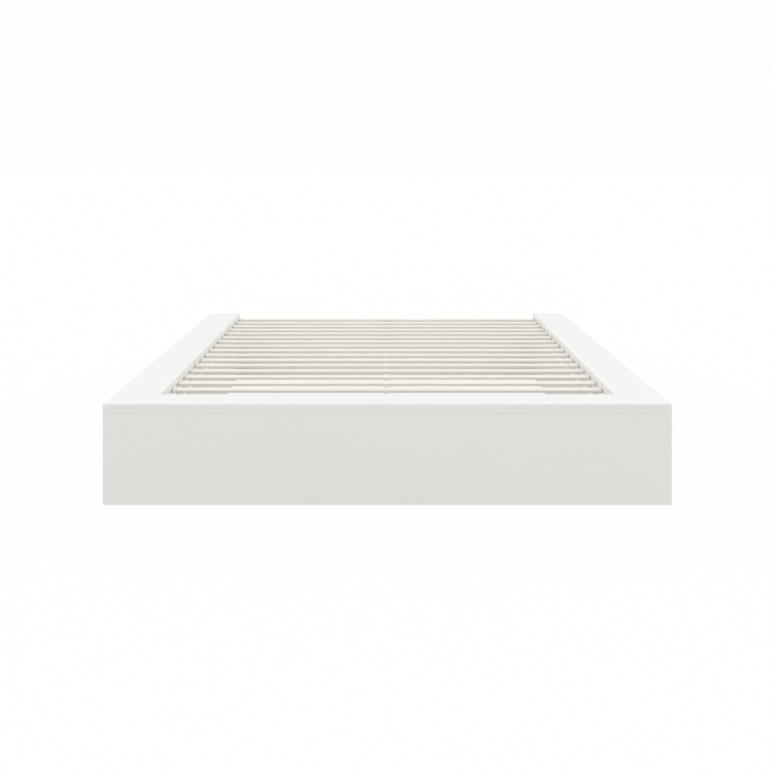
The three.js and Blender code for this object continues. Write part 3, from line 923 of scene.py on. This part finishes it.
def bolt_pattern(length):
    """A hexagon bolt with its head on Z = 0 and its shank below, chamfered at the tip."""
    bolt = hexagon_bar(HEX_RADIUS, HEX_HEAD_HEIGHT, BOLT_CHAMFER, both_ends=False)
    shank = cylinder(BOLT_SIDES, BOLT_RADIUS, length, base=-length)
    ease_edges(shank, level_at(-length), BOLT_TIP)
    carve(bolt, shank, "UNION")
    return bolt


def nut_pattern():
    """A hexagon nut standing on Z = 0, chamfered at both ends, with its bore."""
    nut = hexagon_bar(HEX_RADIUS, NUT_HEIGHT, NUT_CHAMFER, both_ends=True)
    bore = cylinder(BOLT_SIDES, BOLT_RADIUS + NUT_CLEARANCE, 3 * NUT_HEIGHT, base=-NUT_HEIGHT)
    carve(nut, bore, "DIFFERENCE")
    return nut


def washer_pattern():
    """A washer standing on Z = 0, with its outer edges eased and its hole."""
    washer = cylinder(WASHER_SIDES, WASHER_RADIUS, WASHER_HEIGHT)
    ease_edges(washer, is_level, WASHER_EASE)
    hole = cylinder(BOLT_SIDES, BOLT_RADIUS + WASHER_CLEARANCE, 3 * WASHER_HEIGHT, base=-WASHER_HEIGHT)
    carve(washer, hole, "DIFFERENCE")
    return washer


LAP_BOLT_TWIST = 11
LAP_NUT_TWIST = 40


def bolt_up_beam():
    """The two lap bolts with their nuts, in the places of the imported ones."""
    bolts, nuts = [], []
    for end in ENDS:
        low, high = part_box(f"midbeam_{end}_bolt")
        y, z = (low.y + high.y) / 2, (low.z + high.z) / 2
        bolts.append((f"{end}_lap_bolt", (low.x + HEX_HEAD_HEIGHT, y, z), "-x", LAP_BOLT_TWIST))
        nuts.append((f"{end}_lap_nut", (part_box(f"midbeam_{end}_nut")[0].x, y, z), "+x", LAP_NUT_TWIST))
    low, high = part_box("midbeam_foot_bolt")
    set_copies(bolt_pattern(high.x - low.x - HEX_HEAD_HEIGHT), bolts)
    set_copies(nut_pattern(), nuts)
    for end in ENDS:
        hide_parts(f"midbeam_{end}_bolt")
        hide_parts(f"midbeam_{end}_nut")


LEG_PLATE_HOLE_REACH = 24.0 * MM
LEG_PLATE_THICKNESS = 3.0 * MM
BEAM_LIP_THICKNESS = 1.5 * MM
LEG_BOLT_LENGTH = 15.0 * MM
LEG_BOLT_TWISTS = {"foot": -8, "head": 8}
LEG_NUT_TWIST = 30


def bolt_up_leg():
    """Two bolts up through the leg's plate and the beam's slot, into nuts that stand on the beam's lips."""
    low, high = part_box("midbeam_leg")
    middle = (low.y + high.y) / 2
    under_plate = high.z - LEG_PLATE_THICKNESS
    on_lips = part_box("midbeam_foot_half")[0].z + BEAM_LIP_THICKNESS
    washers, bolts, nuts = [], [], []
    for end, end_way in ENDS.items():
        y = middle + end_way * LEG_PLATE_HOLE_REACH
        washers.append((f"leg_washer_{end}", (0, y, under_plate), "-z", 0))
        bolts.append((f"leg_bolt_{end}", (0, y, under_plate - WASHER_HEIGHT), "-z", LEG_BOLT_TWISTS[end]))
        nuts.append((f"leg_nut_{end}", (0, y, on_lips), "+z", LEG_NUT_TWIST))
    set_copies(washer_pattern(), washers)
    set_copies(bolt_pattern(LEG_BOLT_LENGTH), bolts)
    set_copies(nut_pattern(), nuts)


# Levelling foot


def start_outline(name, radius, height):
    """A piece of one point at a radius and a height, left in edit mode to be drawn out."""
    put_down()
    bpy.ops.mesh.primitive_plane_add(size=1, location=(0, 0, 0))
    piece = bpy.context.object
    piece.name = piece.data.name = name
    bpy.ops.object.mode_set(mode="EDIT")
    pick("verts", lambda v: v.co.x > 0 or v.co.y > 0)
    bpy.ops.mesh.delete(type="VERT")
    pick("verts")
    bpy.ops.transform.translate(value=(0.5 + radius, 0.5, height))
    return piece


def spun(name, profile, steps):
    """A solid turned about Z from (radius, height) points that start and end on the axis."""
    piece = start_outline(name, *profile[0])
    for (radius, height), (next_radius, next_height) in zip(profile, profile[1:]):
        draw_out(next_radius - radius, 0, next_height - height)
    bpy.ops.mesh.select_all(action="SELECT")
    bpy.ops.mesh.spin(steps=steps, angle=2 * math.pi, center=(0, 0, 0), axis=(0, 0, 1))
    bpy.ops.mesh.select_all(action="SELECT")
    bpy.ops.mesh.remove_doubles(threshold=TOUCH)
    bpy.ops.mesh.normals_make_consistent(inside=False)
    bpy.ops.object.mode_set(mode="OBJECT")
    return piece


THREAD_PITCH = 1.25 * MM
THREAD_DEPTH = 0.65 * MM
THREAD_STEPS = 16

# Flank, crest, flank and root of the thread, each as a step outwards and a share of the pitch
THREAD_OUTLINE = ((THREAD_DEPTH, 0.42), (0, 0.1), (-THREAD_DEPTH, 0.42), (0, 0.06))


def threaded_bar(name, radius, low, high):
    """A helical thread between two levels, cut flat and closed at both ends."""
    start = low - 2 * THREAD_PITCH
    bar = start_outline(name, radius - THREAD_DEPTH, start)
    for outwards, share in THREAD_OUTLINE:
        draw_out(outwards, 0, share * THREAD_PITCH)
    bpy.ops.object.mode_set(mode="OBJECT")
    turn = bar.modifiers.new("thread", "SCREW")
    turn.axis = "Z"
    turn.angle = 2 * math.pi
    turn.screw_offset = THREAD_PITCH
    turn.iterations = math.ceil((high - start) / THREAD_PITCH) + 1
    turn.steps = THREAD_STEPS
    turn.use_smooth_shade = False
    apply_modifier(bar, turn)
    bpy.ops.object.mode_set(mode="EDIT")
    bpy.ops.mesh.select_all(action="SELECT")
    bpy.ops.mesh.remove_doubles(threshold=TOUCH)
    bpy.ops.mesh.bisect(plane_co=(0, 0, low), plane_no=(0, 0, 1), use_fill=True, clear_inner=True)
    bpy.ops.mesh.select_all(action="SELECT")
    bpy.ops.mesh.bisect(plane_co=(0, 0, high), plane_no=(0, 0, 1), use_fill=True, clear_outer=True)
    bpy.ops.mesh.select_all(action="SELECT")
    bpy.ops.mesh.normals_make_consistent(inside=False)
    bpy.ops.object.mode_set(mode="OBJECT")
    return bar


PAD_STEPS = 40
PAD_PROFILE = [(r * MM, z * MM) for r, z in (
    (0.0, 0.5), (14.6, 0.5), (15.4, 0.0), (18.7, 0.0), (19.5, 0.4), (20.0, 1.2), (20.0, 2.1), (19.7, 2.5),
    (19.1, 2.7), (11.6, 3.7), (11.2, 4.1), (8.4, 4.4), (0.0, 4.5))]
SPANNER_RADIUS = 7.0 * MM
SPANNER_CHAMFER = 0.6 * MM
SPANNER_LOW = 4.4 * MM
SPANNER_HIGH = 8.0 * MM
THREAD_LOW = 7.4 * MM
THREAD_RADIUS = 4.0 * MM


def levelling_foot():
    """A moulded pad with a ring round its foot, a hexagon for a spanner, and the threaded stem."""
    low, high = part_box("levelling_foot")
    pad = spun("levelling_pad", PAD_PROFILE, PAD_STEPS)
    hexagon = hexagon_bar(SPANNER_RADIUS, SPANNER_HIGH - SPANNER_LOW, SPANNER_CHAMFER, both_ends=False)
    hexagon.name = hexagon.data.name = "levelling_hexagon"
    stem = threaded_bar("levelling_stem", THREAD_RADIUS, THREAD_LOW, high.z - low.z)
    for piece, lift, slot in (
            (pad, 0, "dark_plastic"), (hexagon, SPANNER_LOW, "zinc_steel"), (stem, 0, "zinc_steel")):
        piece.location = ((low.x + high.x) / 2, (low.y + high.y) / 2, low.z + lift)
        settle(piece, SMOOTH_ANGLE)
        dress(piece, slot, "levelling_foot")
    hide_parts("levelling_foot")


# Camera, floor and light


def set_up_camera():
    """A level camera looking at the foot, with its picture shifted down."""
    bpy.ops.object.camera_add(location=CAMERA_PLACE, rotation=(math.radians(90), 0, 0))
    camera = bpy.context.object
    camera.name = "photograph_camera"
    camera.data.sensor_width = CAMERA_SENSOR
    camera.data.lens = CAMERA_LENS
    camera.data.shift_y = CAMERA_SHIFT_Y
    camera.data.clip_end = FLOOR_SIZE
    bpy.context.scene.camera = camera


def clear_of_bed(tree, place, inner, outer):
    """A mask, 0 beneath the bed and 1 round it, that rises between two distances off its edges."""
    masks = []
    for axis, edge in (("X", CAD_BOX[1].x), ("Y", CAD_BOX[1].y)):
        off_middle = calculate(tree, "ABSOLUTE", place[axis])
        masks.append(spread(tree, off_middle, edge + inner, edge + outer))
    return calculate(tree, "MAXIMUM", *masks)


def floor_glow(tree, place):
    """The glow's strength. Beneath the bed it rises towards the head and falls to the sides."""
    foot, head = CAD_BOX[0].y, CAD_BOX[1].y
    along = spread(tree, place["Y"], foot, head, FLOOR_GLOW_UNDER_FOOT, FLOOR_GLOW_UNDER_HEAD)
    aside = calculate(tree, "ABSOLUTE", place["X"])
    across = spread(tree, aside, FLOOR_GLOW_SIDE_START, CAD_BOX[1].x, 1.0, FLOOR_GLOW_BY_SIDES)
    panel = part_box("head_panel")[0].y
    by_panel = spread(tree, place["Y"], panel - FLOOR_GLOW_HEAD_PANEL_REACH, panel,
                      1.0, FLOOR_GLOW_BY_HEAD_PANEL)
    beneath = calculate(tree, "MULTIPLY", calculate(tree, "MULTIPLY", along, across), by_panel)
    return blend_values(tree, clear_of_bed(tree, place, -FLOOR_SHADE_FADE, 0.0), beneath, FLOOR_GLOW)


def studio_floor():
    """A floor that the lens sees nearly white with a trace of shade, and that lights the bed softly."""
    put_down()
    bpy.ops.mesh.primitive_plane_add(size=FLOOR_SIZE, location=(0, 0, 0))
    floor = bpy.context.object
    floor.name = "studio_floor"
    material = bpy.data.materials.new("studio floor")
    material.use_nodes = True
    tree = material.node_tree
    tree.nodes.clear()
    place = split(tree, add(tree, "ShaderNodeTexCoord").outputs["Object"])
    bounce = add(tree, "ShaderNodeBsdfDiffuse", inputs={"Color": FLOOR_BOUNCE})
    glow = add(tree, "ShaderNodeEmission", inputs={
        "Color": FLOOR_GLOW_TINT, "Strength": floor_glow(tree, place),
    })
    lighting = add(tree, "ShaderNodeAddShader", inputs={
        0: bounce.outputs["BSDF"], 1: glow.outputs["Emission"],
    })
    shade = spread(tree, clear_of_bed(tree, place, -2 * FLOOR_SHADE_FADE, 0.0), 0.0, 1.0,
                   FLOOR_SHADED_SHARE_BENEATH, FLOOR_SHADED_SHARE)
    white = add(tree, "ShaderNodeEmission", inputs={"Color": (1, 1, 1), "Strength": FLOOR_SEEN_GLOW})
    shaded = add(tree, "ShaderNodeBsdfDiffuse", inputs={"Color": FLOOR_SEEN_BOUNCE})
    seen = add(tree, "ShaderNodeMixShader", inputs={
        "Fac": shade, 1: white.outputs["Emission"], 2: shaded.outputs["BSDF"],
    })
    to_lens = add(tree, "ShaderNodeLightPath").outputs["Is Camera Ray"]
    by_ray = add(tree, "ShaderNodeMixShader", inputs={
        "Fac": to_lens, 1: lighting.outputs["Shader"], 2: seen.outputs["Shader"],
    })
    add(tree, "ShaderNodeOutputMaterial", inputs={"Surface": by_ray.outputs["Shader"]})
    floor.data.materials.append(material)


def studio_air():
    """Soft light from all round, more of it from above and the sides, and a little less from the foot."""
    world = bpy.data.worlds.new("studio air")
    bpy.context.scene.world = world
    world.use_nodes = True
    tree = world.node_tree
    tree.nodes.clear()
    way = split(tree, add(tree, "ShaderNodeTexCoord").outputs["Generated"])
    rise = calculate(tree, "MAXIMUM", way["Z"], 0.0)
    above = calculate(tree, "MULTIPLY", rise, AIR_ZENITH)
    foot = calculate(tree, "MULTIPLY", way["Y"], -AIR_FOOT)
    sides = calculate(tree, "MULTIPLY", calculate(tree, "ABSOLUTE", way["X"]), AIR_SIDES)
    strength = calculate(
        tree, "ADD", calculate(tree, "ADD", above, foot), calculate(tree, "ADD", sides, AIR_LEVEL))
    tint = blend_colours(tree, rise, AIR_LOW_TINT, AIR_HIGH_TINT)
    to_lens = add(tree, "ShaderNodeLightPath").outputs["Is Camera Ray"]
    background = add(tree, "ShaderNodeBackground", inputs={
        "Color": blend_colours(tree, to_lens, tint, (1.0, 1.0, 1.0)),
        "Strength": blend_values(tree, to_lens, strength, AIR_TO_LENS),
    })
    add(tree, "ShaderNodeOutputWorld", inputs={"Surface": background.outputs["Background"]})


bpy.context.scene.view_settings.view_transform = "Standard"
set_up_camera()
studio_floor()
studio_air()
finish_packed_nodes()
for name, side in SIDES.items():
    slat_tape(f"{name}_slat_webbing", side, f"{name}_slat_tape")
staple_tapes()
screw_down_ledgers()
set_copies(pan_head_pattern(), angle_screws() + hanger_screws())
bolt_up_beam()
bolt_up_leg()
levelling_foot()
